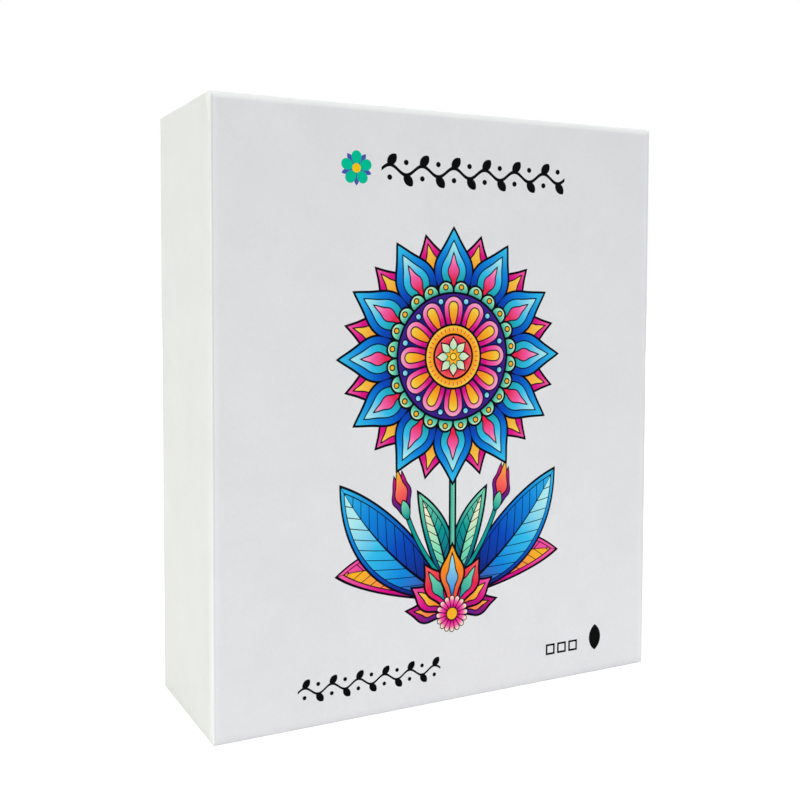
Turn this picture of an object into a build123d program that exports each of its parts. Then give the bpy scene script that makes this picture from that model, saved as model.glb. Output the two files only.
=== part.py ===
from build123d import *
from math import floor, hypot, sin, sqrt
import os

# A boxed wooden jigsaw puzzle, in millimetres. The box stands upright on its lower short wall:
# X runs across its front, Y from its front to its back, and Z up. The origin is under the middle
# of the box, on the surface it stands on.
#
# The box is a rigid one in two halves: a base tray, and a lid as deep as the base that slides
# right over it. Each half is five greyboard panels, held by paper tape over the corners and by
# one sheet of white paper wrapped round the outside and over the rim. The puzzle is cut from
# thin plywood and packed made up, in nine blocks of thirty pieces, each block on its own card,
# between two sheets of soft foam, with a folded picture of the puzzle in front.

# ---- driving sizes ----

BOX_WIDTH = 170.0
BOX_HEIGHT = 200.0
BOX_DEPTH = 55.0

BOARD = 1.8  # thickness of the greyboard
PAPER = 0.25  # thickness of the wrapping paper with its glue
TAPE = 0.1  # thickness of the corner tape, which lies between the board and the paper
LINER = 0.2  # thickness of the plain sheet glued inside each half
EDGE_RADIUS = 1.0  # outside radius of every folded edge

LID_TURN_IN = 18.0  # how far the lid's paper goes inside, past the rim
LID_SHORT = 0.6  # how far the lid's rim stops short of the back of the box
SLIDE_GAP = 0.4  # between the lid's paper and the base, on each side
REST_GAP = 0.1  # left under whatever rests on a flat wall
RIM_GAP = 0.5  # between the base's rim and the lid's liner
TAPE_WIDTH = 14.0  # of each leg of the corner tape
NOTCH_RADIUS = 11.0  # thumb notches in the lid's two short walls

PIECE = 28.0  # width and height of a puzzle piece, without its knobs
PIECE_THICKNESS = 3.5
BLOCK_COLUMNS = 5  # pieces across one block
BLOCK_ROWS = 6
BLOCKS = 3  # blocks across the whole puzzle, and down it
KERF = 0.2  # the gap that the laser leaves between two pieces
KNOB_RADIUS = 2.9
KNOB_FILLET = 1.5  # radius where a knob's neck meets the piece
KNOB_CENTRE = 3.7  # from the piece's side to the centre of its knob
KNOB_VARIATION = 0.08  # how much larger or smaller a knob may be
KNOB_SHIFT = 0.07  # how far along its side a knob may be moved, as a share of the side

CARD_SIZE = (150.0, 176.0)
CARD = 0.4
CARD_CORNER = 4.0  # radius of a card's corners
CARD_NOTCH = 9.0  # radius of the finger notch in the top edge of each card
CARD_GAP = 0.1  # between a card and the block that lies on it
FOAM_SIZE = (156.0, 180.0)
FOAM = 2.5
LAYER_GAP = 0.2  # between one layer in the box and the next

POSTER_SIZE = (105.0, 148.5)  # folded: a quarter as wide and half as high as the open sheet
POSTER_LEAVES = 4
POSTER_LEAF = 0.3  # two thicknesses of paper
POSTER_PITCH = 0.5  # from one leaf to the next

# ---- sizes that follow ----

SKIN = PAPER + TAPE  # what covers the outside of the board
WALL = SKIN + BOARD  # outside of the box to the inner face of the board
LINED_WALL = WALL + PAPER  # the same, where the paper covers both sides
FRONT = -BOX_DEPTH / 2
BACK = BOX_DEPTH / 2
INNER_FRONT = FRONT + WALL + LINER
INNER_BACK = BACK - WALL - LINER

LID_DEPTH = BOX_DEPTH - LID_SHORT
BASE_WIDTH = BOX_WIDTH - 2 * (LINED_WALL + SLIDE_GAP)
BASE_HEIGHT = BOX_HEIGHT - 2 * LINED_WALL - 2 * SLIDE_GAP
BASE_DEPTH = BACK - INNER_FRONT - RIM_GAP
BASE_BOTTOM = LINED_WALL + REST_GAP
PACKED_BOTTOM = BASE_BOTTOM + LINED_WALL + REST_GAP

KNOB_HEIGHT = (KNOB_CENTRE + KNOB_RADIUS) * (1 + KNOB_VARIATION)
BLOCK_WIDTH = BLOCK_COLUMNS * PIECE
PUZZLE_COLUMNS = BLOCKS * BLOCK_COLUMNS
PUZZLE_ROWS = BLOCKS * BLOCK_ROWS


def slab(x, y, z):
    """A block between two limits along each axis."""
    middle = [(low + high) / 2 for low, high in (x, y, z)]
    size = [high - low for low, high in (x, y, z)]
    return Pos(*middle) * Box(*size)


# ---- one half of the box ----
# It is drawn with the outside of its large panel at y = 0 and its rim at y = depth.


def folded_block(width, height, depth, inset):
    """The solid block inside a half's outer faces, rounded along every folded edge."""
    block = slab(
        (-width / 2 + inset, width / 2 - inset),
        (inset, depth),
        (inset, height - inset),
    )
    folds = block.edges().filter_by(Axis.Y) + block.edges().group_by(Axis.Y)[0]
    return fillet(folds, EDGE_RADIUS - inset)


def wall_space(width, height, depth, inset, start):
    """The square-cornered space inside the walls, from y = start out through the rim."""
    return slab(
        (-width / 2 + inset, width / 2 - inset),
        (start, depth + 1),
        (inset, height - inset),
    )


def notch_cutter(height, depth, radius):
    """A bar through both short walls, at the middle of the rim."""
    return Pos(0, depth, height / 2) * Cylinder(radius, height + 2)


def board_panels(width, height, depth, notched):
    """The five greyboard panels: the large one, two long walls and two short ones between them."""
    rim = depth - PAPER
    shell = folded_block(width, height, rim, SKIN)
    shell -= wall_space(width, height, rim, WALL, WALL)
    if notched:
        shell -= notch_cutter(height, depth, NOTCH_RADIUS + PAPER)
    across = (-width / 2, width / 2)
    inside = (-width / 2 + WALL, width / 2 - WALL)
    behind = (WALL, depth)
    up = (0, height)
    return {
        "panel": shell & slab(across, (0, WALL), up),
        "left": shell & slab((across[0], inside[0]), behind, up),
        "right": shell & slab((inside[1], across[1]), behind, up),
        "bottom": shell & slab(inside, behind, (0, WALL)),
        "top": shell & slab(inside, behind, (height - WALL, height)),
    }


def corner_tapes(width, height, depth):
    """Four strips of tape, folded over the corners where the walls meet."""
    rim = depth - 2 * EDGE_RADIUS
    layer = folded_block(width, height, rim, PAPER) - folded_block(width, height, rim, SKIN)
    strips = []
    for side in (-1, 1):
        x = sorted((side * width / 2, side * (width / 2 - TAPE_WIDTH)))
        for z in ((0, TAPE_WIDTH), (height - TAPE_WIDTH, height)):
            strips.append(layer & slab(x, (2 * EDGE_RADIUS, rim), z))
    return strips


def paper_wrap(width, height, depth, turn_in, notched):
    """The paper: over the outside, round the rim, and turned in against the inner faces."""
    outside = folded_block(width, height, depth, 0)
    paper = outside - folded_block(width, height, depth - PAPER, PAPER)
    inner = wall_space(width, height, depth, LINED_WALL, depth - turn_in)
    paper -= wall_space(width, height, depth, WALL, depth - PAPER)
    sleeve = wall_space(width, height, depth, WALL, depth - turn_in)
    sleeve &= slab((-width, width), (0, depth), (0, height))
    paper += sleeve - inner
    if notched:
        lining = notch_cutter(height, depth, NOTCH_RADIUS + PAPER) & outside
        paper += lining - wall_space(width, height, depth, LINED_WALL, 0)
        paper -= notch_cutter(height, depth, NOTCH_RADIUS)
    return paper


def wrap_panels(paper, width, height, depth):
    """The wrap as its large panel and four flaps, which meet where the folds end."""
    across = (-width / 2, width / 2)
    inside = (-width / 2 + LINED_WALL, width / 2 - LINED_WALL)
    behind = (EDGE_RADIUS, depth)
    up = (0, height)
    cutters = (
        slab(across, (0, EDGE_RADIUS), up),
        slab((across[0], inside[0]), behind, up),
        slab((inside[1], across[1]), behind, up),
        slab(inside, behind, (0, LINED_WALL)),
        slab(inside, behind, (height - LINED_WALL, height)),
    )
    return [paper & cutter for cutter in cutters]


def liner_sheet(width, height):
    """The plain sheet glued over the inside of the large panel."""
    return slab(
        (-width / 2 + LINED_WALL + RIM_GAP, width / 2 - LINED_WALL - RIM_GAP),
        (WALL, WALL + LINER),
        (LINED_WALL + RIM_GAP, height - LINED_WALL - RIM_GAP),
    )


# ---- the puzzle ----


def chance(column, row, kind):
    """A share from 0 to 1 that varies from side to side of the puzzle, and is always the same."""
    value = sin(column * 12.9898 + row * 78.233 + kind * 37.719) * 43758.5453
    return value - floor(value)


def knobbed_side(start, end, column, row, kind):
    """The cut from one corner of a piece to the next, with a round knob on one side of it."""
    length = hypot(end[0] - start[0], end[1] - start[1])
    along = ((end[0] - start[0]) / length, (end[1] - start[1]) / length)
    outward = 1 if chance(column, row, kind) > 0.5 else -1
    scale = 1 + KNOB_VARIATION * (2 * chance(column, row, kind + 2) - 1)
    middle = length * (0.5 + KNOB_SHIFT * (2 * chance(column, row, kind + 4) - 1))
    radius = KNOB_RADIUS * scale
    fillet_radius = KNOB_FILLET * scale
    rise = KNOB_CENTRE * scale
    reach = radius + fillet_radius
    spread = sqrt(reach**2 - (rise - fillet_radius) ** 2)
    touch_in = spread * fillet_radius / reach
    touch_up = (rise - fillet_radius) * fillet_radius / reach

    def point(forward, up):
        up *= outward
        x = start[0] + along[0] * forward - along[1] * up
        z = start[1] + along[1] * forward + along[0] * up
        return Vector(x, 0, z)

    def fillet_middle(side):
        """The point of the neck's arc halfway round it."""
        down = (0, -1)
        towards = (spread / reach, (rise - fillet_radius) / reach)
        half = (down[0] + towards[0], down[1] + towards[1])
        size = hypot(*half)
        forward = spread - fillet_radius * half[0] / size
        return point(middle + side * forward, fillet_radius + fillet_radius * half[1] / size)

    neck_foot = [point(middle + side * spread, 0) for side in (-1, 1)]
    neck_top = [
        point(middle + side * (spread - touch_in), fillet_radius + touch_up) for side in (-1, 1)
    ]
    return [
        Edge.make_line(point(0, 0), neck_foot[0]),
        Edge.make_three_point_arc(neck_foot[0], fillet_middle(-1), neck_top[0]),
        Edge.make_three_point_arc(neck_top[0], point(middle, rise + radius), neck_top[1]),
        Edge.make_three_point_arc(neck_top[1], fillet_middle(1), neck_foot[1]),
        Edge.make_line(neck_foot[1], point(length, 0)),
    ]


def piece_side(start, end, column, row, kind, on_border):
    """One side of a piece: straight on the border of the picture, and knobbed inside it."""
    if on_border:
        return [Edge.make_line(Vector(start[0], 0, start[1]), Vector(end[0], 0, end[1]))]
    return knobbed_side(start, end, column, row, kind)


def puzzle_piece(column, row, left, bottom):
    """One piece of the puzzle, with its lower left corner at the given place.

    Columns count from the left and rows from the foot of the whole picture.
    """
    right = left + PIECE
    top = bottom + PIECE
    upright = 0
    level = 1
    sides = piece_side((left, bottom), (left, top), column, row, upright, column == 0)
    sides += piece_side(
        (right, bottom), (right, top), column + 1, row, upright, column == PUZZLE_COLUMNS - 1
    )
    sides += piece_side((left, bottom), (right, bottom), column, row, level, row == 0)
    sides += piece_side(
        (left, top), (right, top), column, row + 1, level, row == PUZZLE_ROWS - 1
    )
    outline = Wire(sides)
    face = Face(outline.offset_2d(-KERF / 2, kind=Kind.INTERSECTION))
    return Solid.extrude(face, Vector(0, PIECE_THICKNESS, 0))


def puzzle_block(block_column, block_row, front):
    """The thirty pieces of one block, made up, with the picture facing the front of the box."""
    at_foot = block_row == 0
    bottom = PACKED_BOTTOM + LAYER_GAP + (0 if at_foot else KNOB_HEIGHT)
    pieces = []
    for row in range(BLOCK_ROWS):
        for column in range(BLOCK_COLUMNS):
            piece = puzzle_piece(
                block_column * BLOCK_COLUMNS + column,
                block_row * BLOCK_ROWS + row,
                -BLOCK_WIDTH / 2 + column * PIECE,
                bottom + row * PIECE,
            )
            pieces.append(Pos(0, front, 0) * piece)
    return pieces


# ---- the flat things packed with it ----


def foam_sheet(back):
    """A foam sheet standing on the base's lower wall, with its back face at the given y."""
    width, height = FOAM_SIZE
    return slab(
        (-width / 2, width / 2),
        (back - FOAM, back),
        (PACKED_BOTTOM, PACKED_BOTTOM + height),
    )


def section_card(back):
    """The card behind one block, with rounded corners and a finger notch in its top edge."""
    width, height = CARD_SIZE
    outline = RectangleRounded(width, height, CARD_CORNER)
    outline -= Pos(0, height / 2) * Circle(CARD_NOTCH)
    middle = PACKED_BOTTOM + height / 2
    return Pos(0, back, middle) * extrude(Plane.XZ * outline, CARD)


def folded_poster(back):
    """The picture sheet, folded across the middle and then to and fro like a fan."""
    width, height = POSTER_SIZE
    bend = POSTER_PITCH / 2
    profile = Sketch()
    for leaf in range(POSTER_LEAVES):
        y = -POSTER_LEAF / 2 - leaf * POSTER_PITCH
        profile += Pos(0, y) * Rectangle(width - 2 * bend, POSTER_LEAF)
    for fold in range(POSTER_LEAVES - 1):
        side = 1 if fold % 2 == 0 else -1
        y = -POSTER_LEAF / 2 - (fold + 0.5) * POSTER_PITCH
        outer = bend + POSTER_LEAF / 2
        ring = Circle(outer) - Circle(bend - POSTER_LEAF / 2)
        ring &= Pos(side * outer / 2, 0) * Rectangle(outer, 2 * outer)
        profile += Pos(side * (width / 2 - bend), y) * ring
    return Pos(0, back, PACKED_BOTTOM) * extrude(profile, height)


# ---- the whole model ----


def box_half(name, panel_name, width, height, depth, turn_in, is_lid):
    """Every part of one half, still drawn with its panel at y = 0."""
    boards = board_panels(width, height, depth, is_lid)
    half = {f"{name}_{panel_name}_board": [boards.pop("panel")]}
    for side, board in boards.items():
        half[f"{name}_{side}_board"] = [board]
    paper = paper_wrap(width, height, depth, turn_in, is_lid)
    half[f"{name}_wrap"] = wrap_panels(paper, width, height, depth) if is_lid else [paper]
    half[f"{name}_corner_tapes"] = corner_tapes(width, height, depth)
    half[f"{name}_liner"] = [liner_sheet(width, height)]
    return half


def placed_lid():
    half = box_half("lid", "front", BOX_WIDTH, BOX_HEIGHT, LID_DEPTH, LID_TURN_IN, True)
    return {name: [Pos(0, FRONT, 0) * solid for solid in solids] for name, solids in half.items()}


def placed_base():
    turn_in = BASE_DEPTH - WALL
    half = box_half("base", "back", BASE_WIDTH, BASE_HEIGHT, BASE_DEPTH, turn_in, False)
    at_back = Pos(0, BACK, BASE_BOTTOM)
    return {
        name: [at_back * mirror(solid, Plane.XZ) for solid in solids]
        for name, solids in half.items()
    }


def packed_contents():
    """Everything inside, packed from the back of the box to the front."""
    contents = {}
    back = INNER_BACK - CARD_GAP
    contents["back_foam_sheet"] = [foam_sheet(back)]
    back -= FOAM + LAYER_GAP
    for number in range(BLOCKS * BLOCKS, 0, -1):
        from_top, block_column = divmod(number - 1, BLOCKS)
        contents[f"section_card_{number}"] = [section_card(back)]
        back -= CARD + CARD_GAP
        front = back - PIECE_THICKNESS
        block = puzzle_block(block_column, BLOCKS - 1 - from_top, front)
        contents[f"puzzle_section_{number}"] = block
        back = front - LAYER_GAP
    contents["front_foam_sheet"] = [foam_sheet(back)]
    back -= FOAM + LAYER_GAP
    contents["reference_poster"] = [folded_poster(back)]
    return contents


def main():
    os.makedirs("parts", exist_ok=True)
    for name, solids in (placed_base() | placed_lid() | packed_contents()).items():
        shape = solids[0] if len(solids) == 1 else Compound(children=list(solids))
        export_step(shape, f"parts/{name}.step")


main()
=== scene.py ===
# %% [markdown]
# # A boxed wooden jigsaw puzzle
#
# The object is a rigid gift box, standing upright: a lid as deep as its base slides right over it.
# Inside are nine made-up blocks of a plywood jigsaw, each on a card, two sheets of foam and a
# folded picture sheet. The construction comes finished, as solids at their real size. This
# lesson gives each of them its looks: paper that wraps round the boards, print, plywood, foam.

# %% Load the construction
import math

import bpy
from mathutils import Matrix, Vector


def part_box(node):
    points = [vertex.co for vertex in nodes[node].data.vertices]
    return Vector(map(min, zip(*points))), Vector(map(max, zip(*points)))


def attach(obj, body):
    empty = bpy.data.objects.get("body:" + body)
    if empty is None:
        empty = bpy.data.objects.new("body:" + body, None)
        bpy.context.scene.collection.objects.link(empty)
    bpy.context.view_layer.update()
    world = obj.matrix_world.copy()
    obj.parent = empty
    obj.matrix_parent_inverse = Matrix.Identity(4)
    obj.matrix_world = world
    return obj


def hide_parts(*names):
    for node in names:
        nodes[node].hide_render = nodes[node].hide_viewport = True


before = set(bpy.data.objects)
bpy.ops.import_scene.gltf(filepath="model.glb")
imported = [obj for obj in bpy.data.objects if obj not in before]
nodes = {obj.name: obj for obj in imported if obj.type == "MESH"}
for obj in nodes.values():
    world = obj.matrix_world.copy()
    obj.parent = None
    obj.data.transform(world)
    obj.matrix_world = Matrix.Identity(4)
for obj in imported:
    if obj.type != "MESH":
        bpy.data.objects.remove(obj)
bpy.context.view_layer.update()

# %% [markdown]
# ## Sizes that everything follows
#
# Blender works in metres here, but paper and print are easier to think of in millimetres. The
# places come from the construction: the lid's front is the plane that the picture is printed on.

# %% Read the sizes of the box
MM = 0.001
HAIR = 0.01 * MM  # closer than this, two places are the same

lid_low, lid_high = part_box("lid_wrap")
base_low, base_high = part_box("base_wrap")
middle_x = (lid_low.x + lid_high.x) / 2
middle_z = (lid_low.z + lid_high.z) / 2
front_y = lid_low.y
print("lid", (lid_high - lid_low) / MM, "mm, base", (base_high - base_low) / MM, "mm")

# %% [markdown]
# ## The camera
#
# A box looks like a box when its upright edges stay parallel in the picture. A camera that looks
# down makes them lean together, so this one, a little above the middle of the box, is tilted only
# slightly, and the lens is shifted down for the rest, as a photographer does with a shift lens.
# It stands near the left front edge, which is why the front narrows towards the right, and the
# lens is shifted sideways as well so that the camera can face the front more squarely.

# %% Place the camera
CAMERA_PLACE = (-0.1820, -0.3210, 0.1383)
CAMERA_TURN = -25.3  # degrees from looking straight at the front
CAMERA_TILT = -2.67  # degrees from level
CAMERA_LENS = 45.8
CAMERA_SHIFT = (0.08, -0.07)

bpy.ops.object.camera_add(
    location=CAMERA_PLACE,
    rotation=(math.radians(90 + CAMERA_TILT), 0, math.radians(CAMERA_TURN)),
)
camera = bpy.context.object
camera.data.lens = CAMERA_LENS
camera.data.shift_x, camera.data.shift_y = CAMERA_SHIFT
camera.data.clip_start = 0.01
bpy.context.scene.camera = camera
print("camera", round((Vector(CAMERA_PLACE) - Vector((0, front_y, middle_z))).length, 3), "m away")

# %% [markdown]
# ## Helpers for materials
#
# A procedural material is a chain of nodes. Three small helpers keep the chains readable: one
# adds any node and links or sets its inputs, one does arithmetic, and one mixes two colours.

# %% Helpers for nodes
def add(tree, kind, inputs=None, **settings):
    """Adds a node with these settings, and sets its inputs or links them to other sockets."""
    made = tree.nodes.new("ShaderNode" + kind)
    for name, value in settings.items():
        setattr(made, name, value)
    for name, value in (inputs or {}).items():
        if isinstance(value, bpy.types.NodeSocket):
            tree.links.new(value, made.inputs[name])
        else:
            made.inputs[name].default_value = value
    return made


def calc(tree, operation, *values):
    """The result of one Math node."""
    return add(tree, "Math", dict(enumerate(values)), operation=operation).outputs[0]


def vector_calc(tree, operation, first, second=(0, 0, 0)):
    """The result of one Vector Math node, which is a number for a length or a dot product."""
    made = add(tree, "VectorMath", {0: first, 1: second}, operation=operation)
    is_number = operation in ("LENGTH", "DOT_PRODUCT")
    return made.outputs["Value" if is_number else "Vector"]


def mixed(tree, share, first, second, blend="MIX"):
    """Two colours mixed by share, which is a number or a socket."""
    made = add(tree, "Mix", {0: share, 6: first, 7: second}, data_type="RGBA", blend_type=blend)
    return made.outputs[2]


print("node helpers ready")

# %% [markdown]
# Colours are easiest to choose as a printer names them, in the six-digit code that every paint
# program shows. Blender's sockets hold linear light, so the code is converted once, here.

# %% Helpers for colours and gradients
def colour(code):
    """A colour from its six-digit code, as linear red, green, blue and alpha."""
    shares = [int(code[i : i + 2], 16) / 255 for i in (0, 2, 4)]
    linear = [s / 12.92 if s <= 0.04045 else ((s + 0.055) / 1.055) ** 2.4 for s in shares]
    return (*linear, 1.0)


def gradient(tree, share, colours):
    """A colour that runs evenly through a list of colours as share goes from 0 to 1."""
    made = add(tree, "ValToRGB", {0: share})
    stops = made.color_ramp.elements
    while len(stops) < len(colours):
        stops.new(0.5)
    for i, chosen in enumerate(colours):
        stops[i].position = i / (len(colours) - 1)
        stops[i].color = chosen
    return made.outputs["Color"]


def ranged(tree, value, low, high, to_low=0.0, to_high=1.0):
    """A number moved from one range to another and held inside it."""
    names = ("Value", "From Min", "From Max", "To Min", "To Max")
    inputs = dict(zip(names, (value, low, high, to_low, to_high)))
    return add(tree, "MapRange", inputs, clamp=True).outputs["Result"]


def millimetres(tree):
    """The place on the object, in millimetres."""
    place = add(tree, "TexCoord").outputs["Object"]
    return vector_calc(tree, "MULTIPLY", place, (1 / MM,) * 3)


def new_material(name):
    """A material, its node tree and its shader."""
    made = bpy.data.materials.new(name)
    made.use_nodes = True
    return made, made.node_tree, made.node_tree.nodes["Principled BSDF"]


print("white is", colour("FFFFFF"), "and a middle grey", colour("808080"))

# %% [markdown]
# ## Light and floor
#
# A white box on white has only its shading to show its form. Five large lamps stand round it. The
# key and the one in front light the front between them, and the side lamp, a little warm, makes
# the left wall the lightest. The one overhead picks out the fold along the top edge, and another
# lights the back. A spotlight with a wide soft edge is aimed below the box, so its light fades
# from the foot up, as when a white table throws light back.

# %% Light the box
LAMPS = {
    "key": {"place": (-1.80, -1.10, 0.95), "size": 1.6, "energy": 10.7, "color": (0.98, 1.0, 1.0)},
    "side": {"place": (-2.20, -0.40, 0.70), "size": 1.2, "energy": 16.0, "color": (0.95, 1.0, 0.78)},
    "front": {"place": (1.20, -2.00, 0.50), "size": 1.2, "energy": 8.9, "color": (0.96, 0.98, 1.0)},
    "over": {"place": (0.0, -0.35, 2.10), "size": 1.2, "energy": 17.3, "color": (0.95, 0.97, 1.0)},
    "back": {"place": (1.70, 1.50, 1.20), "size": 1.6, "energy": 25.0},
}
FOOT_LAMP = {"place": (-0.90, -1.60, 0.35), "aim": (0.03, front_y, -0.2), "energy": 26.0}
FOOT_CONE = {"spot_size": math.radians(24.6), "spot_blend": 1.0, "shadow_soft_size": 0.2}
WORLD_LIGHT = 0.22
WHITE = (1.0, 1.0, 1.0, 1.0)
BLACK = (0.0, 0.0, 0.0, 1.0)


def add_lamp(kind, name, place, aim=(middle_x, 0, middle_z), **settings):
    """A lamp that faces the middle of the box, or another aim, and is not seen itself."""
    turn = (Vector(place) - Vector(aim)).to_track_quat("Z", "Y").to_euler()
    bpy.ops.object.light_add(type=kind, location=place, rotation=turn)
    lamp = bpy.context.object
    lamp.name = f"{name}_lamp"
    lamp.visible_camera = False
    for setting, value in settings.items():
        setattr(lamp.data, setting, value)


for name, settings in LAMPS.items():
    add_lamp("AREA", name, **settings)
add_lamp("SPOT", "foot", **FOOT_LAMP, **FOOT_CONE)
print("lamps of", [settings["energy"] for settings in LAMPS.values()], "watts, and a spotlight")

# %% [markdown]
# The background is white only where it is seen, straight or in a gloss. For everything else the
# world stays dim, so that it does not wash out the shading. The floor does the same: it takes the
# shadow of the box as any white floor does, and adds a little glow where it is seen.

# %% Make the world and the floor
FLOOR_GLOW = (0.5, 0.85)  # near the box and far away, where the lamps hardly reach
FLOOR_FADE = (0.4, 2.0)  # metres from the box over which it goes from the one to the other
FLOOR_SIZE = 12.0
FLOOR_DROP = 0.05 * MM


def is_seen(tree):
    """1 for what the camera sees, straight or in a gloss or through something clear."""
    path = add(tree, "LightPath").outputs
    indirectly = calc(tree, "MAXIMUM", path["Is Glossy Ray"], path["Is Transmission Ray"])
    return calc(tree, "MAXIMUM", path["Is Camera Ray"], indirectly)


world = bpy.data.worlds.new("studio")
bpy.context.scene.world = world
world.use_nodes = True
tree = world.node_tree
strength = ranged(tree, is_seen(tree), 0, 1, WORLD_LIGHT, 1.0)
tree.links.new(strength, tree.nodes["Background"].inputs["Strength"])
tree.nodes["Background"].inputs["Color"].default_value = WHITE

bpy.ops.object.select_all(action="DESELECT")
bpy.ops.mesh.primitive_plane_add(size=FLOOR_SIZE, location=(0, 0, lid_low.z - FLOOR_DROP))
floor = bpy.context.object
floor.name = "floor"
material, tree, shader = new_material("white_floor")
shader.inputs["Base Color"].default_value = (0.9, 0.9, 0.9, 1)
shader.inputs["Roughness"].default_value = 0.9
shader.inputs["Emission Color"].default_value = WHITE
away = vector_calc(tree, "LENGTH", add(tree, "TexCoord").outputs["Object"])
glow = calc(tree, "MULTIPLY", is_seen(tree), ranged(tree, away, *FLOOR_FADE, *FLOOR_GLOW))
tree.links.new(glow, shader.inputs["Emission Strength"])
floor.data.materials.append(material)
bpy.context.scene.view_settings.view_transform = "Standard"
print("a floor", FLOOR_SIZE, "m wide")

# %% [markdown]
# ## A way to draw with nodes
#
# The picture is drawn by distances. Each shape is a number that is negative inside it and grows
# outwards, so "less than nothing" is the shape, and "less than minus half a millimetre" is the
# shape inside its outline. Ink is laid in layers, from the back to the front.
#
# Distances can be bent, fanned out and mirrored before a shape is drawn, and they stay sharp at
# any size.

# %% The drawing helper
SOFT_EDGE = 0.05  # millimetres over which ink fades out, so that edges come out smooth
FINE_LINE = 0.42
BOLD_LINE = 0.75


class Drawing:
    """Layers of ink. Places are in millimetres from the picture's middle, x across and z up."""

    def __init__(self, tree, place):
        self.tree = tree
        self.place = place
        self.colour = INK
        self.cover = 0.0

    def calc(self, operation, *values):
        return calc(self.tree, operation, *values)

    def length(self, along, across):
        both = add(self.tree, "CombineXYZ", {0: along, 1: across}).outputs[0]
        return vector_calc(self.tree, "LENGTH", both)

    def placed(self, x, z, turn, mirrored=False):
        """How far along and across a line that starts at x, z and points turn degrees from up."""
        place = self.place
        if mirrored:
            flip = vector_calc(self.tree, "ABSOLUTE", place)
            apart = add(self.tree, "SeparateXYZ", {0: place}).outputs["Z"]
            side = add(self.tree, "SeparateXYZ", {0: flip}).outputs["X"]
            place = add(self.tree, "CombineXYZ", {0: side, 2: apart}).outputs[0]
        offset = vector_calc(self.tree, "SUBTRACT", place, (x, 0, z))
        sine, cosine = math.sin(math.radians(turn)), math.cos(math.radians(turn))
        along = vector_calc(self.tree, "DOT_PRODUCT", offset, (sine, 0, cosine))
        across = vector_calc(self.tree, "DOT_PRODUCT", offset, (cosine, 0, -sine))
        return along, across

    def fanned(self, up, right, count):
        """How far along and across the nearest of some spokes round the point where both are 0."""
        half_slice = math.pi / count
        bearing = self.calc("WRAP", self.calc("ARCTAN2", right, up), half_slice, -half_slice)
        reach = self.length(up, right)
        along = self.calc("MULTIPLY", reach, self.calc("COSINE", bearing))
        across = self.calc("MULTIPLY", reach, self.calc("SINE", bearing))
        return along, across

    def spoked(self, count, x=0.0, z=0.0, turn=0.0):
        """The same for spokes round a point of the picture, the first of them turned from up."""
        return self.fanned(*self.placed(x, z, turn), count)

    def bent(self, along, across, length, bend):
        """The same line bowed sideways by bend at its middle."""
        share = self.calc("MULTIPLY_ADD", along, 2 / length, -1.0)
        bow = self.calc("MULTIPLY_ADD", self.calc("MULTIPLY", share, share), -bend, bend)
        return self.calc("SUBTRACT", across, bow)

    def disc(self, along, across, centre, radius):
        """The distance to a disc whose centre is this far along."""
        return self.calc("SUBTRACT", self.length(self.calc("SUBTRACT", along, centre), across), radius)

    def almond(self, along, across, start, end, half_width):
        """The distance to an almond that is pointed at both ends: two arcs of one large circle."""
        half_length = (end - start) / 2
        arc = (half_length**2 + half_width**2) / (2 * half_width)
        off = self.calc("ADD", self.calc("ABSOLUTE", across), arc - half_width)
        from_middle = self.calc("SUBTRACT", along, start + half_length)
        return self.calc("SUBTRACT", self.length(from_middle, off), arc)

    def lotus(self, along, across, start, end, half_width, fullest=0.45):
        """The distance to a petal with a full body and a drawn-out tip."""
        body = self.disc(along, across, start + (end - start) * fullest, half_width * 0.93)
        tips = self.almond(along, across, start, end, half_width * 0.62)
        return self.calc("SMOOTH_MIN", body, tips, half_width * 0.9)

    def drop(self, along, across, start, end, half_width):
        """The distance to a drop that is pointed at its start and round at its end."""
        body = self.disc(along, across, end - half_width, half_width)
        tail = self.almond(along, across, start, 2 * (end - half_width) - start, half_width)
        in_tail = self.calc("LESS_THAN", along, end - half_width)
        return add(self.tree, "Mix", {0: in_tail, 2: body, 3: tail}).outputs[0]

    def bar(self, along, across, start, end, half_width):
        """The distance to a straight bar with rounded ends."""
        held = self.calc("SUBTRACT", along, ranged(self.tree, along, start, end, start, end))
        return self.calc("SUBTRACT", self.length(held, across), half_width)

    def paint(self, distance, ink, inset=0.0):
        """Lays ink over the shape, from this far inside its edge."""
        share = ranged(self.tree, distance, SOFT_EDGE - inset, -SOFT_EDGE - inset)
        self.colour = mixed(self.tree, share, self.colour, ink)
        self.cover = self.calc("MAXIMUM", self.cover, share)

    def shaded(self, along, start, end, *inks):
        """Ink that blends from one colour to the next on its way along."""
        return gradient(self.tree, ranged(self.tree, along, start, end), inks)

    def cell(self, distance, ink, line=FINE_LINE):
        """An outlined shape."""
        self.paint(distance, INK)
        self.paint(distance, ink, line)


print("outlines are", FINE_LINE, "and", BOLD_LINE, "mm wide")

# %% [markdown]
# ## The inks
#
# The print is bright: blues from navy to ice, pinks and reds, and a few warm and green accents,
# all held together by one nearly black outline. Every other colour of the picture is a blend of
# these.

# %% The inks
INK = colour("070612")
NAVY = colour("16237A")
ROYAL = colour("0B4CC0")
AZURE = colour("128AE2")
SKY = colour("38C3F2")
ICE = colour("B5F1F6")
TEAL = colour("0E9E99")
MINT = colour("86E5BC")
VIOLET = colour("4B2390")
PLUM = colour("861C7E")
MAGENTA = colour("E4158B")
PINK = colour("FB62AC")
ROSE = colour("FFB1D0")
RED = colour("EB2850")
CORAL = colour("FF6C5F")
ORANGE = colour("FC8827")
AMBER = colour("FFB62B")
YELLOW = colour("FFDE57")
CREAM = colour("FFF2D2")
print("the outline is", INK)

# %% [markdown]
# ## The leaves and buds
#
# The picture is the same on the left and the right, so its leaves are drawn once, with the place
# across taken without its sign. What is drawn first ends up at the back.

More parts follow.
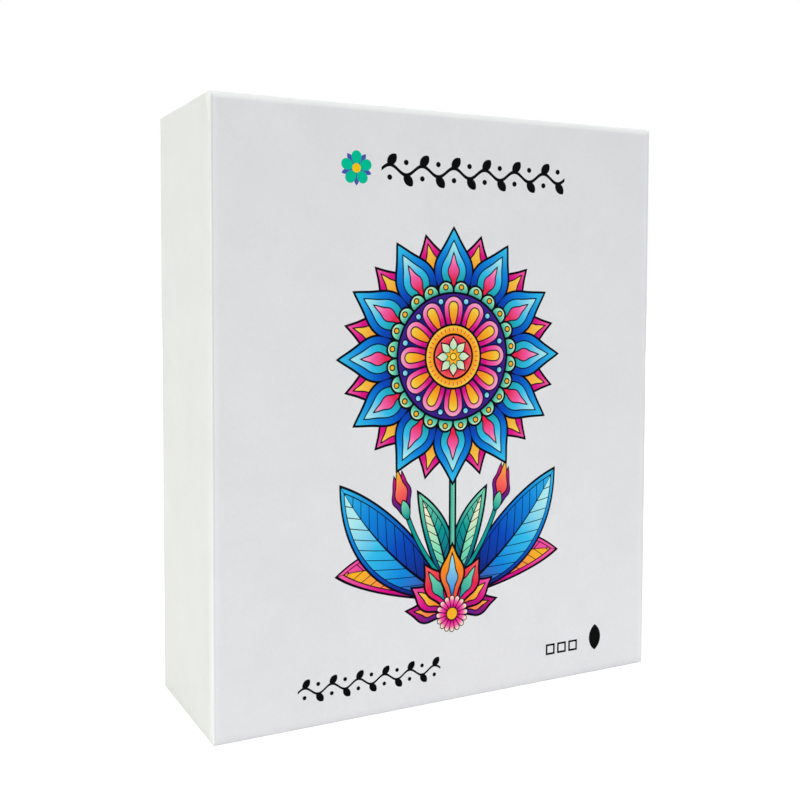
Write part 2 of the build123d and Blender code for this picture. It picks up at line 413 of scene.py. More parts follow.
# %% Draw the leaves and buds
BLOOM = 24.0  # the height of its middle over the picture's, in millimetres, as is the next
FOOT = -64.0
LEAF_RIM = 1.9


def draw_leaf(art, turn, length, half_width, bend, inks, pale_inks, vein_pitch=5.0):
    """A pair of curved leaves, each with a rim, a lighter half, a rib and slanted veins."""
    along, across = art.placed(1.0, FOOT + 6, turn, mirrored=True)
    across = art.bent(along, across, length, bend)
    side = art.calc("ABSOLUTE", across)
    edge = art.almond(along, across, 0, length, half_width)
    art.cell(edge, art.shaded(along, length * 0.2, length, *inks), BOLD_LINE)
    in_rim = art.calc("ADD", edge, LEAF_RIM)
    lower_half = art.calc("MAXIMUM", in_rim, art.calc("MULTIPLY", across, -1))
    art.paint(lower_half, art.shaded(along, length * 0.1, length * 0.8, *pale_inks))
    slant = art.calc("MULTIPLY_ADD", side, -1.2, along)
    vein = art.calc("ABSOLUTE", art.calc("WRAP", slant, vein_pitch / 2, -vein_pitch / 2))
    vein = art.calc("MAXIMUM", art.calc("SUBTRACT", vein, 0.22), in_rim)
    rib = art.calc("SUBTRACT", side, ranged(art.tree, along, 0, length * 0.92, 0.6, 0.1))
    rib = art.calc("MAXIMUM", rib, art.calc("ADD", edge, 0.2))
    rim = art.calc("SUBTRACT", art.calc("ABSOLUTE", in_rim), 0.18)
    art.paint(art.calc("MINIMUM", art.calc("MINIMUM", vein, rib), rim), INK)


def draw_leaves(art):
    """Three pairs of leaves that fan out from the foot, the lowest at the back."""
    draw_leaf(art, 75, 45, 8.4, -5.5, (PLUM, MAGENTA, PINK), (RED, CORAL, AMBER))
    draw_leaf(art, 45, 59, 9.8, 4.0, (NAVY, ROYAL, AZURE, SKY), (VIOLET, AZURE, SKY, ICE))
    draw_leaf(art, 19, 40, 5.2, -2.5, (NAVY, TEAL, MINT), (TEAL, MINT, CREAM), 3.6)


def draw_buds(art):
    """A pair of buds in the gaps under the bloom, each on a bent stalk."""
    along, across = art.placed(1.0, FOOT + 10, 29, mirrored=True)
    stalk = art.bent(along, across, 40, 3.0)
    art.cell(art.bar(along, stalk, 0, 34, 0.95), TEAL)
    sides = art.lotus(along, art.calc("SUBTRACT", art.calc("ABSOLUTE", stalk), 1.7), 31, 45, 2.6)
    art.cell(sides, art.shaded(along, 32, 44, VIOLET, PLUM, MAGENTA))
    art.cell(art.lotus(along, stalk, 31, 46.5, 2.9), art.shaded(along, 33, 45, RED, CORAL, AMBER))
    art.cell(art.almond(along, stalk, 28.5, 36, 1.9), art.shaded(along, 30, 36, TEAL, MINT))


print("the picture's foot is", BLOOM - FOOT, "mm below the middle of the bloom")

# %% [markdown]
# ## The bloom and the foot
#
# Both are rings and fans of petals. A spoke repeats a shape round a point: the angle is wrapped
# into one slice, so one petal is drawn and every slice shows it.

# %% Draw the bloom
def draw_bloom(art):
    """Rings of petals and beads, the widest at the back."""
    back = art.spoked(12, 0, BLOOM, turn=15)
    front = art.spoked(12, 0, BLOOM)
    beads = art.spoked(24, 0, BLOOM, turn=7.5)
    ticks = art.spoked(36, 0, BLOOM)
    star = art.spoked(8, 0, BLOOM)
    small_star = art.spoked(8, 0, BLOOM, turn=22.5)

    def petal(spoke, start, end, half_width, fullest, shade_from, shade_to, *inks, line=FINE_LINE):
        shape = art.lotus(*spoke, start, end, half_width, fullest)
        art.cell(shape, art.shaded(spoke[0], shade_from, shade_to, *inks), line)

    def bead(spoke, centre, radius, shade_from, shade_to, *inks, line=FINE_LINE):
        shape = art.disc(*spoke, centre, radius)
        art.cell(shape, art.shaded(spoke[0], shade_from, shade_to, *inks), line)

    petal(back, 18, 42.5, 6.0, 0.55, 24, 42, VIOLET, PLUM, MAGENTA, PINK, line=BOLD_LINE)
    petal(back, 26, 39.5, 2.6, 0.5, 28, 39, ORANGE, YELLOW)
    petal(front, 12, 44, 8.2, 0.52, 20, 42, NAVY, ROYAL, AZURE, SKY, line=BOLD_LINE)
    petal(front, 18, 39.5, 5.2, 0.5, 24, 38, TEAL, SKY, ICE)
    petal(front, 22, 35.5, 2.5, 0.5, 26, 35, RED, PINK, ROSE)
    bead(beads, 22.6, 3.3, 21.5, 26, TEAL, MINT, CREAM, line=BOLD_LINE)
    art.cell(art.disc(*beads, 23.6, 1.1), AMBER)
    bead(front, 0, 21.9, 10, 22, ROYAL, NAVY, VIOLET, line=BOLD_LINE)
    bead(back, 19.2, 1.25, 18, 20.5, SKY, ICE)
    art.cell(art.drop(*front, 6, 20.6, 3.9), art.shaded(front[0], 9, 20.5, PLUM, MAGENTA, PINK, ROSE))
    art.cell(art.drop(*front, 9, 18.9, 2.0), art.shaded(front[0], 12, 19, ORANGE, AMBER, YELLOW))
    bead(front, 0, 11.2, 7, 11, ORANGE, AMBER, YELLOW, line=BOLD_LINE)
    art.paint(art.bar(*ticks, 8.8, 9.7, 0.16), RED)
    bead(star, 0, 7.9, 2, 7.6, MAGENTA, RED, CORAL, line=BOLD_LINE)
    petal(star, 0.2, 7.1, 1.75, 0.55, 1, 6.8, MINT, CREAM)
    petal(small_star, 0, 3.6, 0.95, 0.45, 0, 1, AMBER, AMBER, line=0.25)
    bead(star, 0, 1.3, 0, 1, YELLOW, YELLOW, line=0.3)


print("the bloom can be drawn")

# %% [markdown]
# The foot is a fan too, but its petals differ, so they are a table: a row for each, with its turn,
# its size and its inks. All but the upright one are drawn as a pair.

# %% Draw the foot
def draw_foot(art):
    """A fan of petals that the leaves and the stem grow out of, the outermost at the back."""
    fan = (
        # turn, length, half width, inks, inner inks
        (80, 19, 4.2, (VIOLET, PLUM, MAGENTA), (CORAL, AMBER)),
        (56, 20, 4.8, (PLUM, MAGENTA, PINK), (ORANGE, YELLOW)),
        (31, 22, 5.0, (MAGENTA, RED, CORAL), (TEAL, MINT)),
        (0, 25, 5.4, (RED, ORANGE, AMBER), (AZURE, ICE)),
    )
    for turn, length, half_width, inks, inner_inks in fan:
        along, across = art.placed(0, FOOT, turn, mirrored=turn > 0)
        petal = art.lotus(along, across, 0, length, half_width, 0.56)
        art.cell(petal, art.shaded(along, 4, length, *inks), BOLD_LINE)
        heart = art.lotus(along, across, 5, length - 3.4, half_width * 0.48)
        art.cell(heart, art.shaded(along, 7, length - 3, *inner_inks))
    beads = art.spoked(16, 0, FOOT)
    art.cell(art.drop(*beads, 1.0, 6.4, 1.05), art.shaded(beads[0], 3, 6, MAGENTA, PINK, CREAM), 0.3)
    art.cell(art.disc(*beads, 0, 2.4), AMBER)


def draw_stem(art):
    """A straight stem from the foot up to the bloom."""
    stem = art.placed(0, FOOT, 0)
    art.cell(art.bar(*stem, 4, 60, 1.5), art.shaded(stem[1], -1.2, 1.2, TEAL, MINT), BOLD_LINE)


print("the foot and the stem can be drawn")

# %% [markdown]
# ## The small prints
#
# Above and below the picture go plain ornaments, and two of them are dark running vines. Such a
# vine is one leaf repeated, turned over in every second cell.

# %% Draw a running vine
CHARCOAL = colour("060607")
LEAF_LEAN = 40  # degrees, forward along the stem


def draw_vine(art, x, z, length, height, bows, line):
    """A wavy stem that starts at x, z. Every bow has a leaf outside it and a berry inside."""
    along, across = art.placed(x, z, 90)
    rise = art.calc("MULTIPLY", across, -1)
    pitch = length / bows
    swing = height * 0.15
    wave = art.calc("SINE", art.calc("MULTIPLY", along, math.pi / pitch))
    off_stem = art.calc("ABSOLUTE", art.calc("MULTIPLY_ADD", wave, -swing, rise))
    from_middle = art.calc("ABSOLUTE", art.calc("SUBTRACT", along, length / 2))
    past_end = art.calc("SUBTRACT", from_middle, length / 2)
    art.paint(art.calc("MAXIMUM", art.calc("SUBTRACT", off_stem, line), past_end), CHARCOAL)

    # Every second bow hangs down. There the rise is turned over, and one leaf serves for both.
    bow = art.calc("FLOOR", art.calc("DIVIDE", along, pitch))
    turned = art.calc("MULTIPLY_ADD", art.calc("MODULO", bow, 2), -2, 1)
    outward = art.calc("MULTIPLY", rise, turned)
    in_bow = art.calc("MULTIPLY_ADD", bow, -pitch, along)
    in_cell = add(art.tree, "CombineXYZ", {0: in_bow, 2: outward}).outputs[0]
    reach, side = Drawing(art.tree, in_cell).placed(pitch * 0.38, swing * 0.9, LEAF_LEAN)
    leaf = art.almond(reach, side, 0, height * 0.46, height * 0.15)
    below = art.calc("ADD", outward, height * 0.24)
    berry = art.disc(in_bow, below, pitch * 0.5, height * 0.085)
    art.paint(art.calc("MAXIMUM", art.calc("MINIMUM", leaf, berry), past_end), CHARCOAL)


print("a vine's leaves lean by", LEAF_LEAN, "degrees")

# %% [markdown]
# The longer vine runs at the top, beside a five-petal blossom, and the finer one at the lower
# left. Three squares and a lozenge go at the lower right.

# %% Draw the small prints
GREEN = colour("00C298")
INDIGO = colour("4757B4")
GOLD = colour("FCCA14")


def draw_small_prints(art):
    """Everything on the front but the picture. Places are from the middle of the front."""
    blossom = (-36.0, 79.4)
    art.paint(art.almond(*art.spoked(5, *blossom, 36), 1.0, 5.6, 1.0), INDIGO)
    art.paint(art.drop(*art.spoked(5, *blossom), 0.9, 5.6, 1.8), GREEN)
    art.paint(art.disc(*art.placed(*blossom, 0), 0, 1.5), GOLD)
    draw_vine(art, -27.0, 79.6, 73.3, 10.5, 12, 0.62)
    draw_vine(art, -56.8, -88.1, 52.9, 8.0, 11, 0.4)
    for x in (42.1, 47.1, 52.1):
        square = art.placed(x, -88.6, 0)
        side = art.calc("MAXIMUM", art.calc("ABSOLUTE", square[0]), art.calc("ABSOLUTE", square[1]))
        outline = art.calc("ABSOLUTE", art.calc("SUBTRACT", side, 1.6))
        art.paint(art.calc("SUBTRACT", outline, 0.36), CHARCOAL)
    lozenge = art.placed(62.1, -91.7, 0)
    art.paint(art.almond(*lozenge, 0, 9.5, 2.6), CHARCOAL)


print("the small prints can be drawn")

# %% [markdown]
# ## One picture for the box, the sheet and the puzzle
#
# The picture is one node group. It takes a place in millimetres from the picture's middle and
# gives back a colour, and how far the place is covered with ink. The box, the folded sheet and
# the puzzle all use it, and only the puzzle shows it larger.

# %% Make the picture a node group
def picture_group(name, *painters):
    """A node group that draws with these functions."""
    group = bpy.data.node_groups.new(name, "ShaderNodeTree")
    sockets = (("Place", "INPUT", "Vector"), ("Color", "OUTPUT", "Color"), ("Cover", "OUTPUT", "Float"))
    for socket, direction, kind in sockets:
        group.interface.new_socket(socket, in_out=direction, socket_type="NodeSocket" + kind)
    art = Drawing(group, group.nodes.new("NodeGroupInput").outputs["Place"])
    for painter in painters:
        painter(art)
    result = group.nodes.new("NodeGroupOutput")
    group.links.new(art.colour, result.inputs["Color"])
    group.links.new(art.cover, result.inputs["Cover"])
    print(name, "is drawn with", len(group.nodes), "nodes")
    return group


def printed(tree, group, place, under):
    """The colour of a surface with a picture printed on it."""
    made = add(tree, "Group", node_tree=group)
    tree.links.new(place, made.inputs["Place"])
    return mixed(tree, made.outputs["Cover"], under, made.outputs["Color"])


picture = picture_group("flower_picture", draw_leaves, draw_buds, draw_stem, draw_bloom, draw_foot)
small_prints = picture_group("small_prints", draw_small_prints)

# %% [markdown]
# ## Paper
#
# Paper is never quite one colour or quite flat. Under the sheen of its film are faint clouds in
# the pulp, a fine grain of fibres, and the long shallow waves of a sheet that was glued to board.
# They show only in raking light, so none of them is more than a part of a millimetre high. Two
# helpers make such clouds and turn them into bumps, and a third links a finish to its shader.

# %% Helpers for clouds and bumps
def noise(tree, place, size, detail=2.0, stretch=(1, 1, 1)):
    """Cloudy values round a half, with clouds of this size in millimetres."""
    scaled = vector_calc(tree, "MULTIPLY", place, tuple(s / size for s in stretch))
    return add(tree, "TexNoise", {"Vector": scaled, "Scale": 1.0, "Detail": detail}).outputs["Fac"]


def bumps(tree, *layers):
    """The normal of a surface under layers of bumps, each a height and its size in millimetres."""
    normal = None
    for height, size in layers:
        inputs = {"Height": height, "Distance": size * MM, "Strength": 1.0}
        if normal:
            inputs["Normal"] = normal
        normal = add(tree, "Bump", inputs).outputs["Normal"]
    return normal


def surface(tree, shader, tone, gloss, *layers):
    """Gives a material its colour, its roughness and layers of bumps."""
    for name, value in (("Base Color", tone), ("Roughness", gloss), ("Normal", bumps(tree, *layers))):
        tree.links.new(value, shader.inputs[name])


print("clouds and bumps ready")

# %% [markdown]
# A wrap also keeps some marks of its making, and light and shade painted into its colour. The soft
# fold at the head is painted lighter, a painted highlight, and so are the long walls beside their
# creases, a painted highlight that is strongest near the foot. Beside the creases runs a fine darker
# line on the front, fainter near the foot, and next to it a strip a little lighter. Just above the
# foot the paper is painted darker, a painted shade. Ears of the sheet go round onto the short walls,
# under their own flaps, and a narrow tuck shows at each corner of the long walls, where the paper
# lies double; the tuck is painted lighter, a painted highlight. All of these follow from how far a
# place is from the box's walls, so they need no painted map.

# %% The marks on a wrap
SOFT_FOLD = 1.6  # at the head of the large panel; millimetres, as are all these
PRESSED_FOLD = 0.5  # everywhere else
# A fine darker line on the front beside the long folds:
DARK_LINE = (0.75, 0.08, 0.25)  # its middle, from the long wall, and where it fades on each side
# A strip a little lighter on the front beside the long folds, up to this far from the long wall:
LIGHTER_BAND = 3.0
# A painted highlight on the long walls beside their creases, this far from the front, strongest near
# the foot:
FOLD_HIGHLIGHT = 4.0
BRIGHTER_FOOT_UP_TO = 95.0
FOLD_HIGHLIGHT_ABOVE = 0.22  # the share of the painted highlight on the creases that is left above that
DARK_LINE_AT_FOOT = 0.4  # the share of the darker line that is left at the foot
# Painted shade just above the foot, this high:
FOOT_SHADE = 2.5
TUCK = (4.8, 12.0)  # into the wall from the large panel, and along the crease
EAR = 14.0
DOUBLE_PAPER = 0.12


def is_near(tree, distance, reach=0.1):
    """Whether a place is within reach of what this distance is measured from."""
    return calc(tree, "LESS_THAN", distance, reach)


def largest(tree, *shares):
    """The largest of some shares, each of which comes with its strength."""
    strong = [calc(tree, "MULTIPLY", share, strength) for share, strength in shares]
    total = strong[0]
    for other in strong[1:]:
        total = calc(tree, "MAXIMUM", total, other)
    return total


def wrap_marks(tree, place, low, high, panel_y):
    """How much the paper round half a box is painted lighter and darker, mostly painted highlight and
    shade, and how much higher it is, each from 0 to 1.
    """
    across, depth, up = add(tree, "SeparateXYZ", {0: place}).outputs
    middle = (low + high) / 2 / MM
    half = (high - low) / 2 / MM

    def inside(value, at, reach):
        away = calc(tree, "ABSOLUTE", calc(tree, "SUBTRACT", value, at))
        return calc(tree, "SUBTRACT", reach, away)

    from_long = inside(across, middle.x, half.x)
    from_short = inside(up, middle.z, half.z)
    from_panel = calc(tree, "ABSOLUTE", calc(tree, "SUBTRACT", depth, panel_y / MM))
    from_head = calc(tree, "SUBTRACT", high.z / MM, up)
    from_foot = calc(tree, "SUBTRACT", up, low.z / MM)

    on_panel = is_near(tree, from_panel)
    on_wall = is_near(tree, from_long, PRESSED_FOLD / 2)

    # The soft fold at the head is painted lighter: a painted highlight.
    from_fold = calc(tree, "ADD", from_panel, from_head)
    head_highlight = ranged(tree, from_fold, SOFT_FOLD, SOFT_FOLD * 1.5, 1, 0)
    # A strip a little lighter on the front beside the long folds.
    lighter_band = calc(tree, "MULTIPLY", ranged(tree, from_long, 1, LIGHTER_BAND, 1, 0), on_panel)
    # The long walls beside their creases are painted lighter, most of all near the foot: a painted
    # highlight.
    highlight_by_height = ranged(tree, from_foot, 0, BRIGHTER_FOOT_UP_TO, 1, FOLD_HIGHLIGHT_ABOVE)
    fold_highlight = calc(tree, "MULTIPLY", ranged(tree, from_panel, 0.3, FOLD_HIGHLIGHT, 1, 0), on_wall)
    fold_highlight = calc(tree, "MULTIPLY", fold_highlight, highlight_by_height)
    # The tuck at each corner of the long walls is painted lighter, a painted highlight on the doubled
    # paper; the same mask also raises it.
    corner = calc(tree, "DIVIDE", from_short, TUCK[1])
    corner = calc(tree, "ADD", corner, calc(tree, "DIVIDE", from_panel, TUCK[0]))
    tucked = calc(tree, "MULTIPLY", ranged(tree, corner, 0.9, 1, 1, 0), is_near(tree, from_long))
    lighter = largest(tree, (head_highlight, 0.6), (lighter_band, 0.17), (tucked, 0.35), (fold_highlight, 0.58))

    # A fine darker line on the front beside the long folds, fainter near the foot.
    middle_of_line, full, gone = DARK_LINE
    from_line = calc(tree, "ABSOLUTE", calc(tree, "SUBTRACT", from_long, middle_of_line))
    dark_line = calc(tree, "MULTIPLY", ranged(tree, from_line, full, gone, 1, 0), on_panel)
    dark_line_by_height = ranged(tree, from_foot, 0, BRIGHTER_FOOT_UP_TO, DARK_LINE_AT_FOOT, 1)
    dark_line = calc(tree, "MULTIPLY", dark_line, dark_line_by_height)
    # Just above the foot the paper is painted darker: a painted shade.
    foot_shade = ranged(tree, from_foot, 0, FOOT_SHADE, 1, 0)
    darker = largest(tree, (dark_line, 0.12), (foot_shade, 0.09))

    ear = ranged(tree, from_long, EAR - 0.4, EAR, 1, 0)
    folded_round = calc(tree, "MULTIPLY", ear, is_near(tree, from_short))
    doubled = largest(tree, (tucked, 1), (folded_round, 1))
    return lighter, darker, doubled


print("tucks of", TUCK, "mm and ears of", EAR, "mm")

# %% [markdown]
# One function makes every paper here. The wraps get their marks, which are mostly painted
# highlight and shade, and the lining, which is rougher and has a little more fibre, goes without.

# %% A paper finish
WAVE_DEPTH = 0.5  # millimetres


def paper(name, light, dark, roughness, fibre=0.012, wave_size=38.0, wraps=None):
    """A paper material, its tree, its shader, its colour and its place in millimetres."""
    material, tree, shader = new_material(name)
    shader.inputs["Specular IOR Level"].default_value = 0.02
    place = millimetres(tree)
    clouds = noise(tree, place, 17.0, 3.0)
    specks = noise(tree, place, 0.9)
    share = calc(tree, "MULTIPLY_ADD", specks, 0.4, calc(tree, "MULTIPLY", clouds, 0.6))
    tone = mixed(tree, ranged(tree, share, 0.32, 0.68), colour(dark), colour(light))
    fibres = noise(tree, place, 0.22)
    waves = noise(tree, place, wave_size, 1.0)
    layers = [(fibres, fibre), (waves, WAVE_DEPTH)]
    if wraps:
        lighter, darker, doubled = wrap_marks(tree, place, *wraps)
        # The wrap's marks go into its colour here: mostly painted highlight and painted shade.
        tone = mixed(tree, darker, mixed(tree, lighter, tone, WHITE), BLACK)
        layers.append((doubled, DOUBLE_PAPER))
    gloss = ranged(tree, clouds, 0.3, 0.7, roughness - 0.04, roughness + 0.04)
    surface(tree, shader, tone, gloss, *layers)
    return material, tree, shader, tone, place


PAPER_TONES = ("ECEBEE", "E7E6E9")
plain_wrap = paper("white_paper", *PAPER_TONES, 0.48, wraps=(base_low, base_high, base_high.y))[0]
liner_paper = paper("lining_paper", "E9E7E0", "E0DDD4", 0.8, fibre=0.03)[0]
print(plain_wrap.name, "and", liner_paper.name, "ready")

# %% [markdown]
# The lid's paper is the same sheet with the print on it. The print belongs to the front alone, so
# it is held to places on the front's own plane. Ink lies under the film, so it changes only the
# colour, not the gloss.

# %% The printed paper
PICTURE_MIDDLE = Vector((0.6, 0, 94.0))  # on the front, in millimetres

printed_wrap, tree, shader, tone, place = paper(
    "printed_paper", *PAPER_TONES, 0.46, wraps=(lid_low, lid_high, front_y)
)
from_picture = vector_calc(tree, "SUBTRACT", place, PICTURE_MIDDLE)
from_middle = vector_calc(tree, "SUBTRACT", place, Vector((middle_x, 0, middle_z)) / MM)
front = printed(tree, picture, from_picture, tone)
front = printed(tree, small_prints, from_middle, front)
depth = add(tree, "SeparateXYZ", {0: place}).outputs["Y"]
on_front = calc(tree, "LESS_THAN", depth, front_y / MM + 0.1)
tree.links.new(mixed(tree, on_front, tone, front), shader.inputs["Base Color"])
print(printed_wrap.name, "ready")

# %% [markdown]
# ## Helpers for modelling
#
# Shapes are made as by hand: a primitive at its size and place, then faces and edges picked by
# where they are, then an operator. Picking in code means testing each one's place, so a small
# helper runs the test and leaves the piece in edit mode with just those selected.

# %% Helpers for modelling
def activate(piece):
    """Selects only this piece and makes it the active one."""
    bpy.ops.object.select_all(action="DESELECT")
    piece.select_set(True)
    bpy.context.view_layer.objects.active = piece


def block(name, low, high):
    """A box between two corners, as the start of a piece."""
    bpy.ops.object.select_all(action="DESELECT")
    low, high = Vector(low), Vector(high)
    bpy.ops.mesh.primitive_cube_add(size=1, location=(low + high) / 2)
    made = bpy.context.object
    made.name = made.data.name = name
    made.scale = high - low
    bpy.ops.object.transform_apply(location=True, rotation=True, scale=True)
    return made


def pick(piece, kind, test):
    """Goes into edit mode with only the faces or edges selected that pass a test of their corners."""
    activate(piece)
    bpy.ops.object.mode_set(mode="EDIT")
    bpy.ops.mesh.select_mode(type=kind)
    bpy.ops.mesh.select_all(action="DESELECT")
    bpy.ops.object.mode_set(mode="OBJECT")
    corners = piece.data.vertices
    for item in piece.data.polygons if kind == "FACE" else piece.data.edges:
        item.select = test([corners[i].co for i in item.vertices])
    bpy.ops.object.mode_set(mode="EDIT")


def edit(piece, kind, test, operator, **settings):
    """Picks faces or edges, runs one operator on them and goes back to object mode."""
    pick(piece, kind, test)
    operator(**settings)
    bpy.ops.object.mode_set(mode="OBJECT")


def modify(piece, kind, **settings):
    """Adds a modifier with these settings and applies it."""
    activate(piece)
    added = piece.modifiers.new(kind.lower(), kind)
    for name, value in settings.items():
        setattr(added, name, value)
    bpy.ops.object.modifier_apply(modifier=added.name)


def smooth(piece, angle=35):
    """Smooth shading with sharp edges above an angle, and flat faces kept flat up to their bevels."""
    activate(piece)
    bpy.ops.object.shade_smooth_by_angle(angle=math.radians(angle))
    modify(piece, "WEIGHTED_NORMAL", keep_sharp=True, weight=100)


def place_on(piece, body, material, slot, *stands_for):
    """Gives a finished piece its material and its body, and hides the solids of the construction that
    it stands for.
    """
    piece.data.materials.clear()
    piece.data.materials.append(material)
    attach(piece, body)
    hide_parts(*stands_for)
    size = piece.dimensions / MM
    print(piece.name, [round(s, 1) for s in size], "mm,", len(piece.data.polygons), "faces")


print("modelling helpers ready")

# %% [markdown]
# ## The paper wraps
#
# Each half of the box is boards wrapped in one sheet of paper, which is folded over the rim and
# turned in. A solid box would hide all of that. So the sheet is modelled as a sheet: an open box
# with rounded folds, whose rim is drawn inwards by the wall's thickness and then down inside.
# Solidify gives it the thickness of paper, towards the boards.

# %% Wrap the boards in paper
PAPER = 0.25 * MM
WALL = 2.4 * MM  # board, tape and paper on both sides
RIM_RADIUS = 0.5 * MM
LID_TURN_IN = 18.0 * MM


def is_round_the_rim(corners, middle, half):
    """Whether an edge runs round the rim, and not across it from the outside to the inside."""
    first, second = [max(abs(c.x - middle.x) - half.x, abs(c.z - middle.z) - half.z) for c in corners]
    return abs(first - second) < WALL / 2


def folded_sheet(name, low, high, rim_y, turn_in):
    """A sheet wrapped round five walls, open at rim_y, with its edge turned in."""
    inward = 1 if rim_y < 0 else -1  # the way from the rim to the large panel, along Y
    middle = (low + high) / 2
    half = (high - low) / 2

    def on_rim(corners):
        return all(abs(c.y - rim_y) < HAIR for c in corners)

    def at_head(corners):
        return all(abs(c.y - rim_y) > HAIR and c.z > high.z - HAIR for c in corners)

    sheet = block(name, low, high)
    edit(sheet, "FACE", on_rim, bpy.ops.mesh.delete, type="FACE")
    share = PRESSED_FOLD / SOFT_FOLD
    weigh = bpy.ops.transform.edge_bevelweight
    edit(sheet, "EDGE", lambda corners: not on_rim(corners), weigh, value=share)
    edit(sheet, "EDGE", at_head, weigh, value=1 - share)
    modify(sheet, "BEVEL", width=SOFT_FOLD * MM, segments=5, limit_method="WEIGHT")

    pick(sheet, "EDGE", on_rim)
    bpy.ops.mesh.extrude_edges_move()
    bpy.ops.transform.resize(
        value=(1 - WALL / half.x, 1, 1 - WALL / half.z), center_override=(middle.x, rim_y, middle.z)
    )
    bpy.ops.mesh.extrude_edges_move(TRANSFORM_OT_translate={"value": (0, inward * turn_in, 0)})
    bpy.ops.mesh.select_all(action="SELECT")
    bpy.ops.mesh.remove_doubles(threshold=HAIR / 10)
    bpy.ops.mesh.normals_make_consistent(inside=False)
    bpy.ops.object.mode_set(mode="OBJECT")

    # The fold over the rim has an outer and an inner edge, and neither is sharp.
    edit(sheet, "EDGE", lambda corners: on_rim(corners) and is_round_the_rim(corners, middle, half),
         bpy.ops.mesh.bevel, offset=RIM_RADIUS, segments=3, affect="EDGES")
    return sheet


print("walls of", WALL / MM, "mm, turned in by", LID_TURN_IN / MM, "mm")

# %% [markdown]
# The lid's short walls have a half-round notch for the thumbs. It is cut through both layers of
# paper with a cylinder. A strip of paper, spun round from a small rectangle, lines the cut, so
# that the edge of the board is covered.

# %% Cut the thumb notches
NOTCH_RADIUS = 11.0 * MM
NOTCH_STEPS = 48


def cut_notches(sheet, rim_y, low, high):
    """Cuts and lines a thumb notch in each short wall, at the middle of the rim."""
    bpy.ops.object.select_all(action="DESELECT")
    bpy.ops.mesh.primitive_cylinder_add(
        vertices=2 * NOTCH_STEPS, radius=NOTCH_RADIUS + PAPER, depth=2 * (high.z - low.z),
        location=(middle_x, rim_y, middle_z),
    )
    cutter = bpy.context.object
    modify(sheet, "BOOLEAN", object=cutter, operation="DIFFERENCE", solver="EXACT")
    bpy.data.objects.remove(cutter)
    for start in (low.z, high.z - WALL):
        near = (middle_x + NOTCH_RADIUS, rim_y - HAIR, start)
        lining = block("lining", near, (near[0] + PAPER, rim_y, start + WALL))
        pick(lining, "FACE", lambda corners: any(abs(c.y - rim_y) > HAIR / 2 for c in corners))
        bpy.ops.mesh.delete(type="FACE")
        bpy.ops.mesh.select_all(action="SELECT")
        bpy.ops.mesh.spin(
            steps=NOTCH_STEPS, angle=math.pi, center=(middle_x, rim_y, middle_z), axis=(0, 0, 1)
        )
        bpy.ops.mesh.select_all(action="SELECT")
        bpy.ops.mesh.normals_make_consistent(inside=False)
        bpy.ops.object.mode_set(mode="OBJECT")
        activate(sheet)
        lining.select_set(True)
        bpy.ops.object.join()


print("notches of", 2 * NOTCH_RADIUS / MM, "mm across")

# %% [markdown]
# Both wraps are made the same way. The lid's is turned in by a narrow margin, and the base's goes
# all the way down to the back, because the base's inside shows when the lid is off.

# %% Make the two wraps
lid_wrap = folded_sheet("lid_paper", lid_low, lid_high, lid_high.y, LID_TURN_IN)
modify(lid_wrap, "SOLIDIFY", thickness=PAPER, offset=-1, use_even_offset=True)
cut_notches(lid_wrap, lid_high.y, lid_low, lid_high)
smooth(lid_wrap)
place_on(lid_wrap, "lid", printed_wrap, "printed_wrap", "lid_wrap")

base_turn_in = base_high.y - base_low.y - WALL
base_wrap = folded_sheet("base_paper", base_low, base_high, base_low.y, base_turn_in)
modify(base_wrap, "SOLIDIFY", thickness=PAPER, offset=-1, use_even_offset=True)
smooth(base_wrap)
place_on(base_wrap, "base", plain_wrap, "plain_wrap", "base_wrap")

# %% [markdown]
# ## Boards and tape
#
# Under the paper is greyboard: recycled pulp pressed into a dense sheet, warm grey, with light
# and dark flecks of what it was before. Where the walls meet, a strip of brown paper tape is
# folded over the corner. These solids are right as they are, so they only get a finish.

# %% Greyboard and tape
def fibrous(name, light, dark, roughness, fleck, stretch=(1, 1, 1), bump=0.05, flecks=0.35):
    """A material of pressed fibres: two tones in clouds, with flecks of this size."""
    material, tree, shader = new_material(name)
    place = millimetres(tree)
    share = ranged(tree, noise(tree, place, fleck * 8, 4.0, stretch), 0.35, 0.65)
    tone = mixed(tree, share, colour(dark), colour(light))
    grain = noise(tree, place, fleck, 3.0, stretch)
    tone = mixed(tree, ranged(tree, grain, 0.60, 0.72, 0, flecks), tone, WHITE)
    tone = mixed(tree, ranged(tree, grain, 0.40, 0.28, 0, flecks), tone, BLACK)
    gloss = ranged(tree, share, 0, 1, roughness - 0.05, roughness)
    surface(tree, shader, tone, gloss, (grain, bump))
    return material


def dress(material, *names):
    """Gives these solids of the construction a material."""
    for name in names:
        nodes[name].material_slots[0].material = material
        dressed.append(name)


dressed = []

greyboard = fibrous("grey_pulp", "ADA598", "9E9588", 0.92, 0.5, flecks=0.15)
corner_tape = fibrous("brown_tape", "B58F5F", "A27D50", 0.7, 0.35, (1, 1, 4), 0.02, 0.15)
walls = ("top", "bottom", "left", "right")
dress(greyboard, "lid_front_board", *[f"lid_{wall}_board" for wall in walls])
dress(greyboard, "base_back_board", *[f"base_{wall}_board" for wall in walls])
dress(corner_tape, "lid_corner_tapes", "base_corner_tapes")
dress(liner_paper, "lid_liner", "base_liner")
print(len(dressed), "hidden solids dressed")

# %% [markdown]
# ## The puzzle
#
# The pieces are laser-cut plywood with the picture printed on a pale ground. A laser browns the
# edges it cuts, and the three plies show there as bands. The back is bare birch. One material
# holds all three, and the way a face points decides which of them it shows.
#
# The made-up puzzle is nine blocks, stacked here one behind the other. Each block's material has
# its own place in the picture, so that laid side by side they make the whole.

